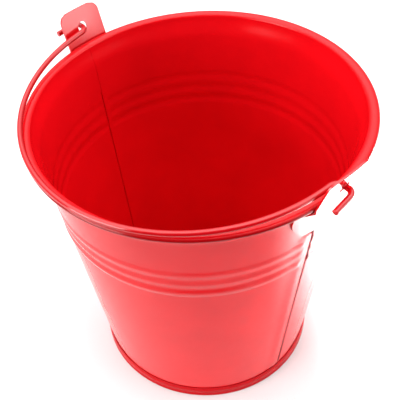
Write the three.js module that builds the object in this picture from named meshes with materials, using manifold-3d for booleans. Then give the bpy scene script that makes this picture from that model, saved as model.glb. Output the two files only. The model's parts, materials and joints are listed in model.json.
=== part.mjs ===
// A small painted tinplate pail with a wire bail. Millimetres, +Z up.
// The origin is on the ground under the middle of the bottom. The ears stand on the X axis,
// and the bail lies folded over the -Y half of the rim.

import * as THREE from 'three';
import { mergeVertices } from 'three/addons/utils/BufferGeometryUtils.js';
import Module from 'manifold-3d';

const wasm = await Module();
wasm.setup();

// The body: two bent half panels. The upper edge is rolled outwards into a flattened curl.
const facets = 64;
const sheet = 0.5;
const rimRadius = 55;
const curlHalfWidth = 1.65;
const curlHalfHeight = 1.1;
const curlHeight = 107;
const curlEnd = -130;
const baseRadius = 40.15;
const wallTaper = 0.1028;
const wallLow = 0.9;
const curlCentre = rimRadius - curlHalfWidth;
// Just under the curl the wall flares out to meet it.
const flareLow = 100;
const flareOut = curlCentre - curlHalfWidth + sheet - baseRadius - wallTaper * curlHeight;

// Three ribs rolled outwards into both panels.
const ribHeights = [75.4, 80.2, 85];
const ribWidth = 4.4;
const ribRise = 0.5;

// The lap seam on each side: the front panel's lip lies over the edge of the rear panel.
const seamTurn = -0.3;
const seamInner = -2.2;
const seamOuter = -0.6;
const buttGap = 0.1;
const lapGap = 0.1;
const joggleWidth = 1;
const seamLow = 5.6;
const seamHigh = 90.4;

// The bottom: a recessed disc whose edge is folded round the lower edge of the wall.
const bottomSheet = 0.6;
const footRadius = 41.3;
const footHeight = 5.2;
const footLeg = 0.45;
const floorTop = 3.6;
const innerLegRadius = 39.45;

// The ears: bent plates, a rounded foot on the wall and a tab with the bail's hole above the rim.
const earSheet = 0.6;
const earGap = 0.12;
const besideCurl = rimRadius + 0.15;
const tabHalfWidth = 7.8;
const tabTop = 118.8;
const tabCorner = 3;
const tabLean = 17;
const tabBendHeight = 107.2;
const earFootRadius = 10.7;
const earFootCentre = 101.5;
const earShoulder = 103.8;
const holeHeight = 112.5;
const holeRadius = 1.8;

// The bail: one wire, bent outwards through the ears and back along itself.
const wireRadius = 0.9;
const wireSides = 5;
const wireSteps = 180;
const bailRadius = 54.5;
const innerBend = 2.6;
const outerBend = 2;
const hookOut = 60.4;
const rightHook = 7.7;
const rightDroop = 14;
const leftHook = 8.2;
const leftDroop = 0;
const restHeight = 108.92;

const mix = (a, b, t) => a + (b - a) * t;
const radians = THREE.MathUtils.degToRad;
const point = (x, y) => new THREE.Vector2(x, y);

// How far the ribs lift the wall at a height.
function ribLift(z) {
  let lift = 0;
  for (const height of ribHeights) {
    const away = Math.abs(z - height) / (ribWidth / 2);
    if (away < 1) lift += ribRise * Math.cos(away * Math.PI / 2) ** 2;
  }
  return lift;
}

// The outer face of the wall: a straight taper, the ribs and the flare under the curl.
function wallRadius(z) {
  const up = Math.min(Math.max((z - flareLow) / (curlHeight - flareLow), 0), 1);
  return baseRadius + wallTaper * z + ribLift(z) + flareOut * up * up * (3 - 2 * up);
}

// The heights at which the wall's outline needs a point, from low to high.
function wallHeights(low, high) {
  const heights = [low, high];
  for (const part of [0, 0.25, 0.5, 0.75]) heights.push(mix(flareLow, curlHeight, part));
  for (const rib of ribHeights) {
    for (const part of [-1, -0.5, 0, 0.5, 1]) heights.push(rib + part * ribWidth / 2);
  }
  const inside = heights.filter((z) => z >= low && z <= high).sort((a, b) => a - b);
  return inside.filter((z, i) => i === 0 || z - inside[i - 1] > 0.3);
}

// A closed mesh with shared corners as a solid. Triangles that have shrunk to a line are dropped.
function toSolid(geometry) {
  const bare = geometry.clone();
  bare.deleteAttribute('normal');
  bare.deleteAttribute('uv');
  const merged = mergeVertices(bare, 1e-4);
  const index = merged.index.array;
  const kept = [];
  for (let i = 0; i < index.length; i += 3) {
    const [a, b, c] = [index[i], index[i + 1], index[i + 2]];
    if (a !== b && b !== c && c !== a) kept.push(a, b, c);
  }
  return new wasm.Manifold(new wasm.Mesh({
    numProp: 3,
    vertProperties: new Float32Array(merged.attributes.position.array),
    triVerts: new Uint32Array(kept),
  }));
}

function toGeometry(solid) {
  const mesh = solid.getMesh();
  const geometry = new THREE.BufferGeometry();
  geometry.setAttribute('position', new THREE.BufferAttribute(new Float32Array(mesh.vertProperties), 3));
  geometry.setIndex(new THREE.BufferAttribute(new Uint32Array(mesh.triVerts), 1));
  geometry.computeVertexNormals();
  return geometry;
}

// A ring or disc made by turning an outline about Z. The outline's points are (radius, height).
function turned(outline) {
  const anticlockwise = THREE.ShapeUtils.area(outline) > 0 ? outline : [...outline].reverse();
  const closed = [...anticlockwise, anticlockwise[0]];
  const geometry = new THREE.LatheGeometry(closed, facets);
  geometry.rotateX(Math.PI / 2);
  return toSolid(geometry);
}

// A box between two corners, turned with the seams about Z.
function block(low, high) {
  const size = high.map((value, i) => value - low[i]);
  const geometry = new THREE.BoxGeometry(...size);
  geometry.translate(...low.map((value, i) => value + size[i] / 2));
  geometry.rotateZ(radians(seamTurn));
  return toSolid(geometry);
}

// Points along the curl's oval, one sheet further in if asked, from the wall over the top to the curl's end.
function curlArc(inset, steps) {
  return Array.from({ length: steps + 1 }, (_, i) => {
    const angle = radians(mix(180, curlEnd, i / steps));
    const out = (curlHalfWidth - inset) * Math.cos(angle);
    return point(curlCentre + out, curlHeight + (curlHalfHeight - inset) * Math.sin(angle));
  });
}

// The outline of the wall with its outward curl.
function panelOutline() {
  const heights = wallHeights(wallLow, curlHeight - 0.3);
  const outside = heights.map((z) => point(wallRadius(z), z));
  const inside = heights.map((z) => point(wallRadius(z) - sheet, z));
  const curlInside = curlArc(sheet, 12);
  const curlOutside = curlArc(0, 14);
  return [...outside, ...curlInside, ...curlOutside.reverse(), ...inside.reverse()];
}

// A ring that follows the wall at the seam's height, between two distances from the wall's outer face,
// kept only between two Y values: one strip on each side of the pail.
function seamStrips(inner, outer, from, to) {
  const heights = wallHeights(seamLow, seamHigh);
  const inside = heights.map((z) => point(wallRadius(z) + inner, z));
  const outside = heights.map((z) => point(wallRadius(z) + outer, z));
  return turned([...outside, ...inside.reverse()]).intersect(block([-60, from, 0], [60, to, 120]));
}

// The front half of the body, with a lip on each side that steps out over the rear panel.
function frontHalf() {
  const edge = seamInner - buttGap / 2;
  const half = turned(panelOutline()).intersect(block([-60, -60, -1], [60, edge, 120]));
  const joggle = seamStrips(-sheet / 2, lapGap + sheet, edge - joggleWidth, edge);
  const lip = seamStrips(lapGap, lapGap + sheet, edge - joggleWidth / 2, seamOuter);
  return toGeometry(half.add(joggle).add(lip));
}

function rearHalf() {
  const edge = seamInner + buttGap / 2;
  return toGeometry(turned(panelOutline()).intersect(block([-60, edge, -1], [60, 60, 120])));
}

// The bottom disc and the channel at its edge that holds the wall.
function bottomDisc() {
  const under = floorTop - bottomSheet;
  const outline = [
    point(0, under),
    point(innerLegRadius - bottomSheet, under),
    point(innerLegRadius - bottomSheet, 0),
    point(footRadius - 0.4, 0),
    point(footRadius, 0.4),
    point(footRadius, footHeight - 0.3),
    point(footRadius - 0.12, footHeight),
    point(footRadius - footLeg, footHeight),
    point(footRadius - footLeg, bottomSheet),
    point(innerLegRadius, bottomSheet),
    point(innerLegRadius, floorTop - 0.2),
    point(innerLegRadius - 0.2, floorTop),
    point(0, floorTop),
  ];
  const geometry = new THREE.LatheGeometry(outline, facets);
  geometry.rotateX(Math.PI / 2);
  return toGeometry(toSolid(geometry));
}

// An outline of even thickness to the outside of a path of (radius, height) points.
function plateOutline(path, thickness) {
  const outer = path.map((p, i) => {
    const before = point(0, 0).subVectors(p, path[Math.max(i - 1, 0)]);
    const after = point(0, 0).subVectors(path[Math.min(i + 1, path.length - 1)], p);
    const normals = [before, after].filter((d) => d.length() > 0).map((d) => point(d.y, -d.x).normalize());
    const middle = normals.reduce((sum, n) => sum.add(n), point(0, 0)).normalize();
    return point(p.x, p.y).addScaledVector(middle, thickness / middle.dot(normals[0]));
  });
  return [...path, ...outer.reverse()];
}

// The ear seen from its side: up the wall, out under the curl, up past it and leaning outwards.
function earPath() {
  const onWall = (z) => point(wallRadius(z) + earGap, z);
  const lean = Math.tan(radians(tabLean));
  return [
    onWall(earFootCentre - earFootRadius - 1),
    onWall(103.6),
    point(besideCurl, 106.1),
    point(besideCurl, tabBendHeight),
    point(besideCurl + (tabTop + 1 - tabBendHeight) * lean, tabTop + 1),
  ];
}

// The ear seen along X, as (Y, height): the half-round foot, the shoulders and the tab.
function earFace() {
  const face = new THREE.Shape();
  face.absarc(0, earFootCentre, earFootRadius, Math.PI, 2 * Math.PI, false);
  face.lineTo(earFootRadius, earShoulder);
  face.lineTo(tabHalfWidth, earShoulder + 1.6);
  face.lineTo(tabHalfWidth, tabTop - tabCorner);
  face.absarc(tabHalfWidth - tabCorner, tabTop - tabCorner, tabCorner, 0, Math.PI / 2, false);
  face.absarc(-tabHalfWidth + tabCorner, tabTop - tabCorner, tabCorner, Math.PI / 2, Math.PI, false);
  face.lineTo(-tabHalfWidth, earShoulder + 1.6);
  face.lineTo(-earFootRadius, earShoulder);
  const hole = new THREE.Path();
  hole.absarc(0, holeHeight, holeRadius, 0, 2 * Math.PI, true);
  face.holes.push(hole);
  return face;
}

// The ear on the +X side.
function ear() {
  const cutter = new THREE.ExtrudeGeometry(earFace(), { depth: 30, bevelEnabled: false, curveSegments: 8 });
  cutter.rotateX(Math.PI / 2);
  cutter.rotateZ(Math.PI / 2);
  cutter.translate(40, 0, 0);
  return toGeometry(turned(plateOutline(earPath(), earSheet)).intersect(toSolid(cutter)));
}

// A straight stretch and a bent stretch of the wire's middle line. Angles are in degrees.
function run(from, to) {
  return {
    length: Math.hypot(to[0] - from[0], to[1] - from[1]),
    at: (t) => [mix(from[0], to[0], t), mix(from[1], to[1], t)],
  };
}

function bend(centre, radius, from, to) {
  return {
    length: Math.abs(radians(to - from)) * radius,
    at: (t) => {
      const angle = radians(mix(from, to, t));
      return [centre[0] + radius * Math.cos(angle), centre[1] + radius * Math.sin(angle)];
    },
  };
}

// A stretch turned down about the hinge axis. Its points gain a third number, their height.
function drooping(stretch, droop) {
  return {
    length: stretch.length,
    at: (t) => {
      const [x, out] = stretch.at(t);
      return [x, out * Math.cos(radians(droop)), -out * Math.sin(radians(droop))];
    },
  };
}

// The end of the wire on the +X side, from the tip of its hook to the start of the half circle: the hook,
// the outer bend, the straight part through the ear, and the inner bend that meets the half circle.
// The hook and the outer bend droop below the bail's plane.
function wireEnd(hook, droop) {
  const bendX = Math.sqrt((bailRadius + innerBend) ** 2 - innerBend ** 2);
  const meets = THREE.MathUtils.radToDeg(Math.atan2(innerBend, bendX));
  return {
    meets,
    stretches: [
      drooping(run([hookOut, hook], [hookOut, outerBend]), droop),
      drooping(bend([hookOut - outerBend, outerBend], outerBend, 0, -90), droop),
      run([hookOut - outerBend, 0], [bendX, 0]),
      bend([bendX, innerBend], innerBend, -90, -180 + meets),
    ],
  };
}

// The same stretches on the -X side, walked the other way.
function mirrored(stretches) {
  return [...stretches].reverse().map((stretch) => ({
    length: stretch.length,
    at: (t) => {
      const [x, out, up] = stretch.at(1 - t);
      return [-x, out, up];
    },
  }));
}

// The wire's middle line, flat in the bail's own plane.
class BailLine extends THREE.Curve {
  constructor() {
    super();
    const right = wireEnd(rightHook, rightDroop);
    const left = wireEnd(leftHook, leftDroop);
    const middle = bend([0, 0], bailRadius, right.meets, 180 - left.meets);
    this.stretches = [...right.stretches, middle, ...mirrored(left.stretches)];
    this.total = this.stretches.reduce((sum, stretch) => sum + stretch.length, 0);
  }

  getPoint(t) {
    let along = t * this.total;
    let stretch = this.stretches[0];
    for (stretch of this.stretches) {
      if (along <= stretch.length) break;
      along -= stretch.length;
    }
    const [x, out, up = 0] = stretch.at(Math.min(along / stretch.length, 1));
    return new THREE.Vector3(x, -out, up);
  }
}

// The bail, tipped down about the hinge until it lies on the rim.
function bailWire() {
  const section = new THREE.Shape();
  section.absarc(0, 0, wireRadius, 0, 2 * Math.PI, false);
  const geometry = new THREE.ExtrudeGeometry(section, {
    steps: wireSteps,
    curveSegments: wireSides,
    extrudePath: new BailLine(),
  });
  const drop = holeHeight - restHeight;
  geometry.rotateX(Math.asin(drop / bailRadius));
  geometry.translate(0, 0, holeHeight);
  return toGeometry(toSolid(geometry));
}

function redPaint() {
  return new THREE.MeshStandardMaterial({ color: 0xc81420, roughness: 0.22, metalness: 0.0 });
}

function named(name, geometry, material) {
  const mesh = new THREE.Mesh(geometry, material);
  mesh.name = name;
  return mesh;
}

const pail = new THREE.Group();

pail.add(named('side_panel_front', frontHalf(), redPaint()));
pail.add(named('side_panel_rear', rearHalf(), redPaint()));
pail.add(named('bottom', bottomDisc(), redPaint()));

const rightEar = named('ear_right', ear(), redPaint());
const leftEar = named('ear_left', ear(), redPaint());
leftEar.rotation.z = Math.PI;
pail.add(rightEar, leftEar);

pail.add(named('bail_wire', bailWire(), redPaint()));

export default pail;
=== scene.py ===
"""Looks for a small red enamelled tin pail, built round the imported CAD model. Metres, +Z up.

The ears stand on the X axis and the bail lies folded over the -Y half of the rim.
"""

import json

import bmesh
import bpy
import numpy as np
from mathutils import Matrix, Vector


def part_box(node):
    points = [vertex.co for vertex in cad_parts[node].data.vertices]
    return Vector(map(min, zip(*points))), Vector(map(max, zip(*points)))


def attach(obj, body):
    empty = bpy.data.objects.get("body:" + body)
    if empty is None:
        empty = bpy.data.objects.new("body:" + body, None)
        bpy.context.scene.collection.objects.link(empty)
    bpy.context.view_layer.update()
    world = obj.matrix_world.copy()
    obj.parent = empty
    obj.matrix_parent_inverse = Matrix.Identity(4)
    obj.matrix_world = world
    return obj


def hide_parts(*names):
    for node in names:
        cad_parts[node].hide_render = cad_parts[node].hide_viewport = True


MM = 0.001

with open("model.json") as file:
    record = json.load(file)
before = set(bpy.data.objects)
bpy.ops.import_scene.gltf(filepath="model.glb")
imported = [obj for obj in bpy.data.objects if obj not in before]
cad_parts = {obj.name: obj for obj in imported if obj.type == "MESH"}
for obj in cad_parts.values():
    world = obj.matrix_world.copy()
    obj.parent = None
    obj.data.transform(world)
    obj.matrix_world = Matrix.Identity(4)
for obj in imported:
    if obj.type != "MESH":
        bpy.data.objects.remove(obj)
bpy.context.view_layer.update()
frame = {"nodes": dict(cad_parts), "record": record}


# Sizes taken from the CAD pieces

panel_low, panel_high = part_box("side_panel_front")
bottom_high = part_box("bottom")[1]
ear_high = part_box("ear_right")[1]
wire_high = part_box("bail_wire")[1]
hinge = frame["record"]["behaviour"]["joints"][0]["pos_m"]

RIM_RADIUS = -panel_low.y
CURL_HALF_WIDTH = 1.65 * MM
CURL_HALF_HEIGHT = 1.1 * MM
CURL_CENTRE = RIM_RADIUS - CURL_HALF_WIDTH
CURL_HEIGHT = panel_high.z - CURL_HALF_HEIGHT
WALL_LOW = panel_low.z
FOOT_RADIUS = bottom_high.y
FOOT_HEIGHT = bottom_high.z
HOLE_HEIGHT = hinge[2]

# The sheet and its shape between the foot and the curl

SHEET = 0.5 * MM
BASE_RADIUS = 40.15 * MM
TAPER = 0.1028
RIB_HEIGHTS = np.array([75.4, 80.2, 85.0]) * MM
RIB_WIDTHS = np.array([5.0, 4.6, 4.6]) * MM
RIB_RISES = np.array([0.42, 0.28, 0.28]) * MM
CURL_END = np.radians(-130)
FLARE_LOW = 100 * MM
INSIDE_RIB = 0.6

# The lap seams: the front panel's lips lie over the rear panel's edges

SEAM_TURN = np.radians(-0.3)
SEAM_INNER = -2.2 * MM
SEAM_OUTER = -0.6 * MM
LAP_GAP = 0.06 * MM
LIP_SHEET = 0.34 * MM
SEAM_LOW = 5.6 * MM
SEAM_HIGH = 90.3 * MM
HALF_GAP = 0.05 * MM
NEAR_SEAM = 8 * MM
LINE_DEPTH = 0.1 * MM
LINE_WIDTH = 1.5 * MM

# The bottom's legs, which hold the wall's lower edge

BOTTOM_SHEET = 0.6 * MM
LEG_RADIUS = 39.45 * MM
FLOOR_TOP = 3.6 * MM

# The ears

EAR_SHEET = 0.6 * MM
EAR_GAP = 0.12 * MM
BESIDE_CURL = RIM_RADIUS + 0.15 * MM
TAB_HALF = 7.8 * MM
TAB_CORNER = 3 * MM
TAB_LEAN = np.radians(17)
TAB_BEND = 107.2 * MM
OUTWARD_FROM = 103.6 * MM
OUTWARD_TO = 106.1 * MM
EAR_FOOT = 10.7 * MM
EAR_FOOT_CENTRE = 101.5 * MM
HOLE_RADIUS = 1.8 * MM
HOLE_CELLS = 5
ROUND_TO = 5.4 * MM

# The bail

WIRE_RADIUS = 0.9 * MM
INNER_BEND = 2.6 * MM
OUTER_BEND = 2 * MM
HOOK_OUT = wire_high.x - WIRE_RADIUS
RIGHT_HOOK = 7.7 * MM
RIGHT_DROOP = np.radians(14)
LEFT_HOOK = 8.2 * MM
BAIL_RADIUS = 54.5 * MM
REST_HEIGHT = 108.92 * MM


# Surfaces

def smooth(value, low, high):
    """0 below low and 1 above high, with an even S between them."""
    t = np.clip((value - low) / (high - low), 0, 1)
    return t * t * (3 - 2 * t)


def grid_faces(rows, columns, close_columns=False):
    """The quads of a grid whose corners are numbered row by row."""
    c = np.arange(columns if close_columns else columns - 1)
    r, c = np.meshgrid(np.arange(rows - 1), c, indexing="ij")
    right, below = (c + 1) % columns, r + 1
    corners = [r * columns + c, r * columns + right, below * columns + right, below * columns + c]
    return np.stack(corners, -1).reshape(-1, 4)


def closed_tube(points, poles):
    """The points and faces of a grid that closes round its columns, with a fan of triangles from each
    end row to one of the two poles."""
    rows, columns = points.shape[:2]
    first = np.arange(columns)
    faces = grid_faces(rows, columns, close_columns=True).tolist()
    for row, pole in ((first, rows * columns), (first + (rows - 1) * columns, rows * columns + 1)):
        faces += np.stack([row, np.roll(row, -1), np.full(columns, pole)], -1).tolist()
    return np.concatenate([points.reshape(-1, 3), poles]), faces


def new_piece(name, points, faces, body, stands_for):
    """A smooth-shaded piece that rides on a CAD body and stands for a CAD node. Its faces look outwards."""
    mesh = bpy.data.meshes.new(name)
    mesh.from_pydata(points.reshape(-1, 3).tolist(), [], faces)
    work = bmesh.new()
    work.from_mesh(mesh)
    bmesh.ops.recalc_face_normals(work, faces=work.faces)
    work.to_mesh(mesh)
    work.free()
    mesh.shade_smooth()
    piece = bpy.data.objects.new(name, mesh)
    bpy.context.scene.collection.objects.link(piece)
    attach(piece, body)
    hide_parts(stands_for)
    return piece


def soften_edges(piece, width):
    """Rounds the sheet's cut edges and keeps the shading flat on either side of them."""
    bevel = piece.modifiers.new("rounded_edges", "BEVEL")
    bevel.width = width
    bevel.segments = 2
    bevel.limit_method = "ANGLE"
    bevel.angle_limit = np.radians(50)
    bevel.harden_normals = True
    return piece


def paint_attribute(piece, name, values):
    """A number from 0 to 1 at each corner of the mesh, for its paint to read."""
    attribute = piece.data.attributes.new(name, "FLOAT", "POINT")
    attribute.data.foreach_set("value", values.astype(np.float32).ravel())


# The side panels

def rib_lift(z):
    """The sum of the ribs: each is a squared cosine as wide as the rib, and nothing beyond it."""
    away = np.abs(z[..., None] - RIB_HEIGHTS) / (RIB_WIDTHS / 2)
    lift = RIB_RISES * np.cos(np.clip(away, 0, 1) * np.pi / 2) ** 2
    return lift.sum(-1)


def wall_radius(z, rib=1.0):
    """The wall's outer face: a straight taper, the ribs, and a flare that meets the curl."""
    flare = CURL_CENTRE - CURL_HALF_WIDTH + SHEET - BASE_RADIUS - TAPER * CURL_HEIGHT
    return BASE_RADIUS + TAPER * z + rib * rib_lift(z) + flare * smooth(z, FLARE_LOW, CURL_HEIGHT)


def wall_heights():
    """Heights up the wall, close together over the ribs."""
    return np.concatenate([
        np.linspace(WALL_LOW, 7 * MM, 18, endpoint=False),
        np.linspace(7 * MM, 71 * MM, 30, endpoint=False),
        np.linspace(71 * MM, 92 * MM, 72, endpoint=False),
        np.linspace(92 * MM, CURL_HEIGHT - 0.3 * MM, 20),
    ])


def seam_span(z):
    """1 over the seam's height and 0 above and below it, with the lip's corners rounded off."""
    return smooth(z, SEAM_LOW, SEAM_LOW + 1.2 * MM) * (1 - smooth(z, SEAM_HIGH - 1.6 * MM, SEAM_HIGH))


def places_round():
    """Places round a half panel, from 0 at one seam to 1 at the other and close together near both. The
    second array falls from 1 at either seam to 0 inland, and is negative on the first side."""
    close = np.array([0, 0.12, 0.3, 0.55, 0.8, 1.05, 1.3, 1.42, 1.52, 1.62, 1.74, 1.86, 1.98, 2.1, 2.22, 2.36,
                      2.6, 3, 3.6, 4.4, 5.4, 6.6, 8]) * MM
    spread = np.linspace(close[-1], 0.5 * np.pi * CURL_CENTRE, 88)[1:]
    from_edge = np.concatenate([close, spread])
    whole = np.pi * CURL_CENTRE
    along = np.concatenate([from_edge, (whole - from_edge[:-1])[::-1]]) / whole
    to_edge = np.minimum(along, 1 - along) * whole
    return along, np.clip(1 - to_edge / NEAR_SEAM, 0, 1) * np.where(along < 0.5, -1, 1)


def lip_line(inland, edge_y):
    """How far a place on the rear panel lies beyond the free edge of the front panel's lip."""
    return inland - (SEAM_OUTER - edge_y)


def wall_face(z, front, inner, inland, edge_y):
    """The radius of one face of a panel's wall. The front panel is lifted over the rear panel's edge and
    thins towards its lip. The rear panel has a shallow line beside the lip. The ribs die out at a seam."""
    span = seam_span(z)[:, None]
    rib = smooth(inland, -0.4 * MM, 2.6 * MM) if front else smooth(inland, 0.6 * MM, 2.4 * MM)
    r = wall_radius(np.repeat(z[:, None], inland.shape[1], 1), rib * (INSIDE_RIB if inner else 1))
    if front and inner:
        return r - SHEET + (SHEET + LAP_GAP) * span * (1 - smooth(inland, -0.02 * MM, 0.35 * MM))
    if front:
        return r + (LIP_SHEET + LAP_GAP) * span * (1 - smooth(inland, 0.1 * MM, 4.2 * MM))
    if inner:
        return r - SHEET
    beside = lip_line(inland, edge_y)
    shape = smooth(beside, -0.25 * MM, 0.1 * MM) * (1 - smooth(beside, 0.9 * MM, LINE_WIDTH))
    return r - LINE_DEPTH * span * shape


def panel_face(z, arc, front, inner, edge_y):
    """One face of a bent half panel as a grid of (place up the sheet, place round the pail): up the wall
    and round the curl's oval, and round the pail in a circle. Also how far each place on the wall is
    from the nearer seam."""
    along, near = places_round()
    radius = wall_radius(z)[:, None]
    plain = np.pi / 2 + edge_y / radius * (1 if front else -1)
    reach = (SEAM_OUTER - edge_y) / radius * seam_span(z)[:, None] * front
    angle = (2 * along - 1) * plain + near * reach
    inland = (plain - np.abs(angle)) * radius
    r = wall_face(z, front, inner, inland, edge_y)
    inset = 0 if inner else SHEET
    curl_r = CURL_CENTRE + (CURL_HALF_WIDTH - inset) * np.cos(arc)
    curl_z = CURL_HEIGHT + (CURL_HALF_HEIGHT - inset) * np.sin(arc)
    r = np.vstack([r, np.repeat(curl_r[:, None], len(along), 1)])
    middle = SEAM_TURN + (-np.pi / 2 if front else np.pi / 2)
    turn = middle + np.vstack([angle, np.repeat(angle[-1:], len(arc), 0)])
    height = np.repeat(np.concatenate([z, curl_z])[:, None], len(along), 1)
    return np.stack([r * np.cos(turn), r * np.sin(turn), height], -1), inland


def panel(name, front):
    """A bent half panel: the two faces of its sheet, joined round all four edges."""
    z = wall_heights()
    arc = np.linspace(np.pi, CURL_END, 34)
    edge_y = SEAM_INNER + (-HALF_GAP if front else HALF_GAP)
    outer, inland = panel_face(z, arc, front, False, edge_y)
    inner = panel_face(z, arc, front, True, edge_y)[0]
    rows, columns = outer.shape[:2]
    count = rows * columns
    numbers = np.arange(count).reshape(rows, columns)
    rim = np.concatenate([numbers[0], numbers[1:, -1], numbers[-1, -2::-1], numbers[-2:0:-1, 0]])
    after = np.roll(rim, -1)
    edge = np.stack([rim, after, after + count, rim + count], -1)
    sheet_faces = grid_faces(rows, columns)
    faces = np.concatenate([sheet_faces, sheet_faces + count, edge]).tolist()
    piece = new_piece(name + "_sheet", np.stack([outer, inner]), faces, "pail", name)
    # Painted shade: a dark red band on the rear panel beside the front panel's lip, where the seam's groove
    # lies in shade.
    painted_crevice_shade = np.zeros((2, rows, columns))
    if not front:
        beside = lip_line(inland, edge_y)
        line = smooth(beside, -0.5 * MM, -0.3 * MM) * (1 - smooth(beside, 1.25 * MM, LINE_WIDTH))
        painted_crevice_shade[0, :len(z)] = seam_span(z)[:, None] * line
    paint_attribute(piece, "painted_crevice_shade", painted_crevice_shade)
    # Painted shade: the curl's underside is darkened where the rolled edge shades itself.
    painted_curl_shade = np.zeros((2, rows, columns))
    painted_curl_shade[:, len(z):] = (1 - smooth(arc, 0.1, 1.1))[:, None]
    paint_attribute(piece, "painted_curl_shade", painted_curl_shade)
    return soften_edges(piece, 0.12 * MM)


front_panel = panel("side_panel_front", True)
rear_panel = panel("side_panel_rear", False)


# The bottom and its folded foot

def bottom_outline():
    """Half of the bottom's section, from the axis under the disc, down the inner leg, out along the ground,
    up the foot's outer leg with its two soft beads, and back inside the fold to the disc's top."""
    under = FLOOR_TOP - BOTTOM_SHEET
    inside = LEG_RADIUS - BOTTOM_SHEET
    bend = 0.55 * MM
    z = np.linspace(bend, FOOT_HEIGHT - 0.35 * MM, 26)
    up = (z - z[0]) / (z[-1] - z[0])
    waist = 0.24 * MM * np.sin(np.pi * np.clip(up / 0.62, 0, 1)) ** 2
    crown = 0.32 * MM * np.clip((up - 0.66) / 0.34, 0, 1) ** 2
    leg = np.stack([FOOT_RADIUS - waist - crown, z], -1)
    quarter = np.radians(np.linspace(-90, 0, 7))[:-1]
    toe = np.stack([FOOT_RADIUS - bend * (1 - np.cos(quarter)), bend * (1 + np.sin(quarter))], -1)
    half = np.radians(np.linspace(10, 170, 9))
    top = np.stack([
        FOOT_RADIUS - 0.32 * MM - (0.14 - 0.14 * np.cos(half)) * MM,
        FOOT_HEIGHT - 0.35 * MM + 0.35 * MM * np.sin(half),
    ], -1)
    plain = np.array([
        [FOOT_RADIUS - 0.6 * MM, FOOT_HEIGHT - 0.4 * MM],
        [FOOT_RADIUS - 0.5 * MM, 2.6 * MM],
        [FOOT_RADIUS - 0.5 * MM, BOTTOM_SHEET],
        [LEG_RADIUS, BOTTOM_SHEET],
        [LEG_RADIUS, FLOOR_TOP - 0.3 * MM],
        [LEG_RADIUS - 0.1 * MM, FLOOR_TOP - 0.08 * MM],
        [LEG_RADIUS - 0.35 * MM, FLOOR_TOP],
    ])
    disc = np.linspace(LEG_RADIUS - 1.5 * MM, 0.4 * MM, 20)
    over = np.stack([disc, FLOOR_TOP + 0 * disc], -1)
    underside = np.array([
        [0.4 * MM, under],
        [20 * MM, under],
        [inside - 0.8 * MM, under],
        [inside - 0.2 * MM, under - 0.2 * MM],
        [inside, under - 0.8 * MM],
        [inside, 0.35 * MM],
        [inside + 0.1 * MM, 0.1 * MM],
        [inside + 0.35 * MM, 0],
    ])
    return np.vstack([underside, toe, leg, top, plain, over])


def bottom_piece():
    """The bottom's section turned about the Z axis, closed at the two poles. The fold between the foot
    and the wall is darkened with painted shade."""
    outline = bottom_outline()
    angle = np.linspace(0, 2 * np.pi, 288, endpoint=False)
    r = outline[:, :1]
    grid = np.stack([r * np.cos(angle), r * np.sin(angle), np.repeat(outline[:, 1:], len(angle), 1)], -1)
    points, faces = closed_tube(grid, np.array([[0, 0, outline[0, 1]], [0, 0, outline[-1, 1]]]))
    piece = new_piece("foot_and_bottom", points, faces, "pail", "bottom")
    z = points[:, 2]
    r = np.hypot(points[:, 0], points[:, 1])
    # Painted shade in the fold between the foot and the wall, which the paint colours dark red.
    fold = (r > LEG_RADIUS + 0.4 * MM) * smooth(z, FOOT_HEIGHT - 0.5 * MM, FOOT_HEIGHT - 0.1 * MM)
    paint_attribute(piece, "painted_crevice_shade", fold * (r < FOOT_RADIUS - 0.42 * MM))
    return piece


bottom = bottom_piece()


# The ears

def ear_radius(z):
    """How far out the ear's inner face stands: up the wall, out in a straight bend, up beside the curl,
    and then leaning out. The corners of the bends are rounded by a running average."""
    low, high = 85 * MM, 122 * MM
    tall = np.linspace(low, high, 741)
    on_wall = np.array([low, 90 * MM, 95 * MM, 99 * MM, OUTWARD_FROM])
    path_z = np.concatenate([on_wall, [OUTWARD_TO, TAB_BEND, high]])
    path_r = np.concatenate([
        wall_radius(on_wall, 0) + EAR_GAP,
        [BESIDE_CURL, BESIDE_CURL, BESIDE_CURL + (high - TAB_BEND) * np.tan(TAB_LEAN)],
    ])
    line = np.interp(tall, path_z, path_r)
    reach = 13
    kernel = np.hanning(reach + 2)[1:-1]
    soft = np.convolve(np.pad(line, reach // 2, mode="edge"), kernel / kernel.sum(), "valid")
    return np.interp(z, tall, soft)


def ear_half_width(z):
    """Half the ear's width: a half circle at its foot, sloped shoulders, and the tab with rounded corners."""
    foot = np.sqrt(np.clip(EAR_FOOT ** 2 - np.clip(EAR_FOOT_CENTRE - z, 0, None) ** 2, 0, None))
    shoulder = np.interp(z, [OUTWARD_FROM, OUTWARD_FROM + 2 * MM], [EAR_FOOT, TAB_HALF])
    into = np.clip(z - (ear_high.z - TAB_CORNER), 0, TAB_CORNER)
    corner = TAB_CORNER - np.sqrt(np.clip(TAB_CORNER ** 2 - into ** 2, 0, None))
    return np.where(z < EAR_FOOT_CENTRE, foot, shoulder) - corner


def ear_heights(step):
    """Heights up the ear: even steps over the tab, with one at the hole's middle, and closer at the foot."""
    low, top = EAR_FOOT_CENTRE - EAR_FOOT, ear_high.z
    above = np.arange(HOLE_HEIGHT, top - step * 0.6, step)
    below = np.arange(HOLE_HEIGHT - step, EAR_FOOT_CENTRE - 6 * MM, -step)[::-1]
    foot = below[0] - (below[0] - low) * np.linspace(1, 0, 18, endpoint=False) ** 1.8
    return np.concatenate([np.clip(foot, low + 0.02 * MM, None), below, above, [top]])


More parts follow.
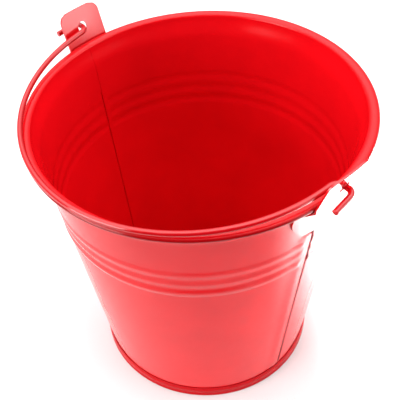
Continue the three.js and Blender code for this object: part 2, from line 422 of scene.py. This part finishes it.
def ear(name, side, node_name):
    """A bent plate: a grid of (height, place across) wrapped round the pail. Near the bail's hole the grid's
    squares are drawn in to circles, and the cells inside the hole are left out."""
    step = HOLE_RADIUS / HOLE_CELLS
    z = ear_heights(step)
    cells = int(round(TAB_HALF / step))
    across = np.arange(-cells, cells + 1) / cells
    y = across * ear_half_width(z)[:, None]
    up = np.repeat(z[:, None], len(across), 1) - HOLE_HEIGHT
    aside = np.repeat(across[None, :] * TAB_HALF, len(z), 0)
    square = np.maximum(np.abs(aside), np.abs(up))
    length = np.maximum(np.hypot(aside, up), 1e-9)
    round_off = 1 - smooth(square, HOLE_RADIUS * 1.05, ROUND_TO)
    scale = 1 + round_off * (square / length - 1)
    y, height = y * scale, HOLE_HEIGHT + up * scale
    points = np.stack([side * np.sqrt(ear_radius(height) ** 2 - y ** 2), y, height], -1)
    faces = grid_faces(*up.shape)
    cell = np.maximum(np.abs(aside.ravel()[faces].mean(1)), np.abs(up.ravel()[faces].mean(1)))
    faces = faces[cell > HOLE_RADIUS]
    used, faces = np.unique(faces, return_inverse=True)
    faces = faces.reshape(-1, 4).tolist()
    piece = new_piece(name, points.reshape(-1, 3)[used], faces, "pail", node_name)
    if np.mean([f.normal.x * side for f in piece.data.polygons]) < 0:
        piece.data.flip_normals()
    plate = piece.modifiers.new("plate", "SOLIDIFY")
    plate.thickness = EAR_SHEET
    plate.offset = 1
    plate.use_even_offset = True
    return soften_edges(piece, 0.14 * MM)


right_ear = ear("right_ear_plate", 1, "ear_right")
left_ear = ear("left_ear_plate", -1, "ear_left")


# The bail

def arc_points(centre, radius, start, end, count):
    """Points along an arc from one angle to another, in degrees."""
    angle = np.radians(np.linspace(start, end, count))
    return np.stack([centre[0] + radius * np.cos(angle), centre[1] + radius * np.sin(angle)], -1)


def wire_end(hook):
    """The wire's middle line on the +X side, in the bail's plane as (x, distance out from the hinge):
    hook, outer bend, straight through the ear, inner bend."""
    bend_x = np.sqrt((BAIL_RADIUS + INNER_BEND) ** 2 - INNER_BEND ** 2)
    meets = np.degrees(np.arctan2(INNER_BEND, bend_x))
    straight = np.stack([np.full(12, HOOK_OUT), np.linspace(hook, OUTER_BEND, 12, endpoint=False)], -1)
    outer = arc_points((HOOK_OUT - OUTER_BEND, OUTER_BEND), OUTER_BEND, 0, -90, 12)
    through = np.stack([np.linspace(HOOK_OUT - OUTER_BEND, bend_x, 8)[1:-1], np.zeros(6)], -1)
    inner = arc_points((bend_x, INNER_BEND), INNER_BEND, -90, -180 + meets, 12)
    return np.vstack([straight, outer, through, inner]), meets


def bail_line():
    """The wire's whole middle line from the right hook's end to the left one's, as (x, distance out from
    the hinge, lift). The right hook droops about the hinge. A point is added close to either end."""
    right, meets = wire_end(RIGHT_HOOK)
    left = wire_end(LEFT_HOOK)[0]
    middle = arc_points((0, 0), BAIL_RADIUS, meets, 180 - meets, 260)[1:-1]
    line = np.vstack([right, middle, (left * [-1, 1])[::-1]])
    droop = np.where(line[:, 0] > HOOK_OUT - OUTER_BEND - 0.01 * MM, RIGHT_DROOP, 0)
    line = np.stack([line[:, 0], line[:, 1] * np.cos(droop), -line[:, 1] * np.sin(droop)], -1)
    start, end = line[0] + (line[1] - line[0]) * 0.02, line[-1] + (line[-2] - line[-1]) * 0.02
    return np.vstack([line[:1], start, line[1:-1], end, line[-1:]])


def bail():
    """A circle carried along the wire's middle line, slightly smaller at the two flat ends. The whole is
    tipped down until it lies on the rim's outer shoulder."""
    line = bail_line()
    ahead = np.gradient(line, axis=0)
    ahead /= np.linalg.norm(ahead, axis=1, keepdims=True)
    sideways = np.cross(ahead, [0.0, 0.0, 1.0])
    sideways /= np.linalg.norm(sideways, axis=1, keepdims=True)
    lift = np.cross(sideways, ahead)
    size = np.full(len(line), WIRE_RADIUS)
    size[[0, -1]] *= 0.86
    angle = np.linspace(0, 2 * np.pi, 28, endpoint=False)[None, :, None]
    section = np.cos(angle) * sideways[:, None] + np.sin(angle) * lift[:, None]
    tube = line[:, None] + size[:, None, None] * section
    tip = np.arcsin((HOLE_HEIGHT - REST_HEIGHT) / BAIL_RADIUS)
    x, out, up = tube[..., 0], tube[..., 1], tube[..., 2]
    y = -(out * np.cos(tip) + up * np.sin(tip))
    z = HOLE_HEIGHT - out * np.sin(tip) + up * np.cos(tip)
    grid = np.stack([x, y, z], -1)
    points, faces = closed_tube(grid, [grid[0].mean(0), grid[-1].mean(0)])
    return new_piece("bail_wire_bent", points, faces, "bail", "bail_wire")


bail_piece = bail()


# Paint

RED = (0.76, 0.0035, 0.008)
# Painted shade: the foot's red is darkened for the shade close to the ground.
FOOT_SHADE_RED = (0.5, 0.0025, 0.006)
# Painted shade: the dark red that colours the seam's groove and the foot's fold.
SEAM_SHADE_RED = (0.16, 0.004, 0.006)


def enamel(name, colour, roughness, peel, nibs, shine):
    """Thick red enamel: a faint orange-peel ripple, a few dust nibs, slight unevenness in shade and gloss,
    painted shade under the curl, and painted shade in the crevices as a matt dark red."""
    material = bpy.data.materials.new(name)
    material.use_nodes = True
    nodes, links = material.node_tree.nodes, material.node_tree.links
    shader = nodes["Principled BSDF"]
    shader.inputs["IOR"].default_value = 1.5
    shader.inputs["Specular IOR Level"].default_value = shine
    place = nodes.new("ShaderNodeTexCoord").outputs["Object"]

    def noise(scale, detail):
        node = nodes.new("ShaderNodeTexNoise")
        node.inputs["Scale"].default_value = scale
        node.inputs["Detail"].default_value = detail
        links.new(place, node.inputs["Vector"])
        return node.outputs["Fac"]

    def attribute(attribute_name):
        node = nodes.new("ShaderNodeAttribute")
        node.attribute_name = attribute_name
        return node.outputs["Fac"]

    def ranged(value, from_low, from_high, to_low, to_high):
        node = nodes.new("ShaderNodeMapRange")
        links.new(value, node.inputs["Value"])
        numbers = {"From Min": from_low, "From Max": from_high, "To Min": to_low, "To Max": to_high}
        for socket, number in numbers.items():
            node.inputs[socket].default_value = number
        return node.outputs["Result"]

    def mixed(factor, first, second):
        node = nodes.new("ShaderNodeMix")
        node.data_type = "RGBA"
        links.new(factor, node.inputs["Factor"])
        for socket, value in ((node.inputs[6], first), (node.inputs[7], second)):
            if isinstance(value, tuple):
                socket.default_value = (*value, 1)
            else:
                links.new(value, socket)
        return node.outputs[2]

    def bump(height, strength, distance, normal=None):
        node = nodes.new("ShaderNodeBump")
        node.inputs["Strength"].default_value = strength
        node.inputs["Distance"].default_value = distance
        links.new(height, node.inputs["Height"])
        if normal:
            links.new(normal, node.inputs["Normal"])
        return node.outputs["Normal"]

    broad = ranged(noise(38, 3), 0.35, 0.65, 0, 1)
    painted_crevice_shade = attribute("painted_crevice_shade")
    shade = mixed(broad, tuple(c * 0.9 for c in colour), colour)
    # Painted shade: the seam's groove and the foot's fold are coloured dark red.
    shade = mixed(painted_crevice_shade, shade, SEAM_SHADE_RED)
    # Painted shade under the curl: the colour there falls to 0.4 of the enamel's.
    shade = mixed(attribute("painted_curl_shade"), shade, tuple(c * 0.4 for c in colour))
    links.new(shade, shader.inputs["Base Color"])
    gloss = ranged(noise(95, 4), 0.4, 0.7, roughness, roughness + 0.05)
    links.new(gloss, shader.inputs["Roughness"])

    dust = nodes.new("ShaderNodeTexVoronoi")
    dust.inputs["Scale"].default_value = 105
    links.new(place, dust.inputs["Vector"])
    chosen = nodes.new("ShaderNodeSeparateColor")
    links.new(dust.outputs["Color"], chosen.inputs["Color"])
    speck = nodes.new("ShaderNodeMath")
    speck.operation = "MULTIPLY"
    links.new(ranged(chosen.outputs["Red"], 0.93, 0.94, 0, 1), speck.inputs[0])
    links.new(ranged(dust.outputs["Distance"], 0.02, 0.07, 1, 0), speck.inputs[1])
    ripple = bump(noise(620, 2), peel, 0.03 * MM)
    links.new(bump(speck.outputs["Value"], nibs, 0.15 * MM, ripple), shader.inputs["Normal"])

    # Painted shade: a matt dark diffuse is mixed in over the seam's groove and the foot's fold, which also
    # takes the gloss away there.
    crevice_shade_diffuse = nodes.new("ShaderNodeBsdfDiffuse")
    crevice_shade_diffuse.inputs["Color"].default_value = (*SEAM_SHADE_RED, 1)
    blend = nodes.new("ShaderNodeMixShader")
    links.new(painted_crevice_shade, blend.inputs["Fac"])
    links.new(shader.outputs["BSDF"], blend.inputs[1])
    links.new(crevice_shade_diffuse.outputs["BSDF"], blend.inputs[2])
    links.new(blend.outputs["Shader"], nodes["Material Output"].inputs["Surface"])
    return material


body_enamel = enamel("enamel_on_panels", RED, roughness=0.13, peel=0.35, nibs=0.5, shine=0.27)
# The foot's enamel has a darker red as painted shade.
shaded_foot_enamel = enamel("enamel_on_foot_shaded", FOOT_SHADE_RED, roughness=0.15, peel=0.35, nibs=0.5, shine=0.1)
ear_enamel = enamel("enamel_on_ears", RED, roughness=0.16, peel=0.4, nibs=0.4, shine=0.75)
# The wire's enamel has a darker red than the panels' as painted shade for its underside.
shaded_wire_enamel = enamel("enamel_on_wire_shaded", (0.52, 0.0025, 0.006), roughness=0.09, peel=0.3, nibs=0.6, shine=0.6)
for piece, paint in ((front_panel, body_enamel), (rear_panel, body_enamel), (bottom, shaded_foot_enamel),
                     (right_ear, ear_enamel), (left_ear, ear_enamel), (bail_piece, shaded_wire_enamel)):
    piece.data.materials.append(paint)
for node in frame["nodes"].values():
    node.data.materials.clear()
    node.data.materials.append(body_enamel)


# Floor, light and camera

VIEW_AZIMUTH = np.radians(48.88)
VIEW_ELEVATION = np.radians(38.13)
CAMERA_DISTANCE = 0.22052
CAMERA_TURNS = (("up", 5.472), ("right", -11.991), ("ahead", 4.163))
CARD_NEAR, CARD_FAR, CARD_ASIDE = 0.14, 0.45, 2.5
UNDER_FOOT = 0.05 * MM
towards_camera = Vector((np.sin(VIEW_AZIMUTH), -np.cos(VIEW_AZIMUTH), 0))


def floor():
    """A flat sheet of matt white card. It ends a hand's breadth in front of the pail and two behind it."""
    ahead = np.array([-towards_camera.x, -towards_camera.y])
    aside = np.array([-ahead[1], ahead[0]])
    rows, columns = np.linspace(-CARD_NEAR, CARD_FAR, 9), np.linspace(-CARD_ASIDE, CARD_ASIDE, 9)
    near, wide = np.meshgrid(rows, columns, indexing="ij")
    x, y = near * ahead[0] + wide * aside[0], near * ahead[1] + wide * aside[1]
    mesh = bpy.data.meshes.new("card")
    points = np.stack([x, y, 0 * x - UNDER_FOOT], -1).reshape(-1, 3)
    mesh.from_pydata(points.tolist(), [], grid_faces(9, 9)[:, ::-1].tolist())
    card = bpy.data.objects.new("card", mesh)
    bpy.context.scene.collection.objects.link(card)
    white = bpy.data.materials.new("white_card")
    white.use_nodes = True
    shader = white.node_tree.nodes["Principled BSDF"]
    shader.inputs["Base Color"].default_value = (0.72, 0.72, 0.72, 1)
    shader.inputs["Roughness"].default_value = 0.9
    mesh.materials.append(white)


floor()


def room():
    """A white room: brightest overhead and low behind the pail on its right, and dim where the person with
    the camera stands. The camera itself sees it plain white."""
    world = bpy.data.worlds.new("white_room")
    bpy.context.scene.world = world
    world.use_nodes = True
    nodes, links = world.node_tree.nodes, world.node_tree.links
    place = nodes.new("ShaderNodeTexCoord")

    def patch(direction, cos_low, cos_high, low, high):
        """A value that goes from low to high as the direction looked in nears the one given."""
        facing = nodes.new("ShaderNodeVectorMath")
        facing.operation = "DOT_PRODUCT"
        facing.inputs[1].default_value = Vector(direction).normalized()
        links.new(place.outputs["Generated"], facing.inputs[0])
        value = nodes.new("ShaderNodeMapRange")
        value.interpolation_type = "SMOOTHSTEP"
        numbers = {"From Min": cos_low, "From Max": cos_high, "To Min": low, "To Max": high}
        for socket, number in numbers.items():
            value.inputs[socket].default_value = number
        links.new(facing.outputs["Value"], value.inputs["Value"])
        return value.outputs["Result"]

    def combine(operation, first, second):
        node = nodes.new("ShaderNodeMath")
        node.operation = operation
        links.new(first, node.inputs[0])
        links.new(second, node.inputs[1])
        return node.outputs["Value"]

    overhead = patch((0, 0, 1), 0.25, 0.97, 0.35, 3.35)
    behind = patch((0.85, 0.53, -0.05), 0.88, 0.96, 0, 4.6)
    dim = patch(towards_camera + Vector((0, 0, 0.25)), 0.45, 0.85, 1, 0.03)
    bright = combine("ADD", overhead, behind)
    light = combine("MULTIPLY", bright, dim)
    seen = nodes.new("ShaderNodeLightPath").outputs["Is Camera Ray"]
    links.new(combine("MAXIMUM", light, seen), nodes["Background"].inputs["Strength"])
    nodes["Background"].inputs["Color"].default_value = (1, 1, 1, 1)


room()


def softbox(name, place, target, size, watts, spread):
    """A square cloth-fronted lamp that shines along its own axis."""
    lamp = bpy.data.lights.new(name, "AREA")
    lamp.shape = "SQUARE"
    lamp.size, lamp.energy, lamp.spread = size, watts, np.radians(spread)
    piece = bpy.data.objects.new(name, lamp)
    bpy.context.scene.collection.objects.link(piece)
    piece.location = place
    piece.rotation_euler = (Vector(target) - Vector(place)).to_track_quat("-Z", "Y").to_euler()


# One lamp over the card behind the pail, and one low in front on its left
softbox("card_light", (0.12, 0.17, 0.2), (0.11, 0.13, 0), 0.08, 2.2, 44)
softbox("left_light", (-0.10, -0.6, 0.2), (0, -0.05, 0.05), 0.36, 1.5, 120)


def camera():
    """The camera looks at the middle of the rim from its distance, and is then panned, tilted and rolled
    a little off it. The shift is the place of the lens's axis in the picture."""
    target = Vector((0, 0, CURL_HEIGHT))
    back = towards_camera * np.cos(VIEW_ELEVATION) + Vector((0, 0, np.sin(VIEW_ELEVATION)))
    ahead = -back
    right = ahead.cross(Vector((0, 0, 1))).normalized()
    up = right.cross(ahead)
    for axis_name, degrees in CAMERA_TURNS:
        axis = {"up": up, "right": right, "ahead": ahead}[axis_name]
        turn = Matrix.Rotation(np.radians(degrees), 3, axis)
        ahead, right, up = turn @ ahead, turn @ right, turn @ up
    data = bpy.data.cameras.new("camera")
    data.sensor_width = 36
    data.lens = 62.269
    data.shift_x = 0.15549
    data.shift_y = 0.15107
    data.clip_start = 0.01
    camera_object = bpy.data.objects.new("camera", data)
    bpy.context.scene.collection.objects.link(camera_object)
    place = Matrix((right, up, -ahead)).transposed().to_4x4()
    place.translation = target + back * CAMERA_DISTANCE
    camera_object.matrix_world = place
    bpy.context.scene.camera = camera_object


camera()

scene = bpy.context.scene
scene.view_settings.view_transform = "Standard"
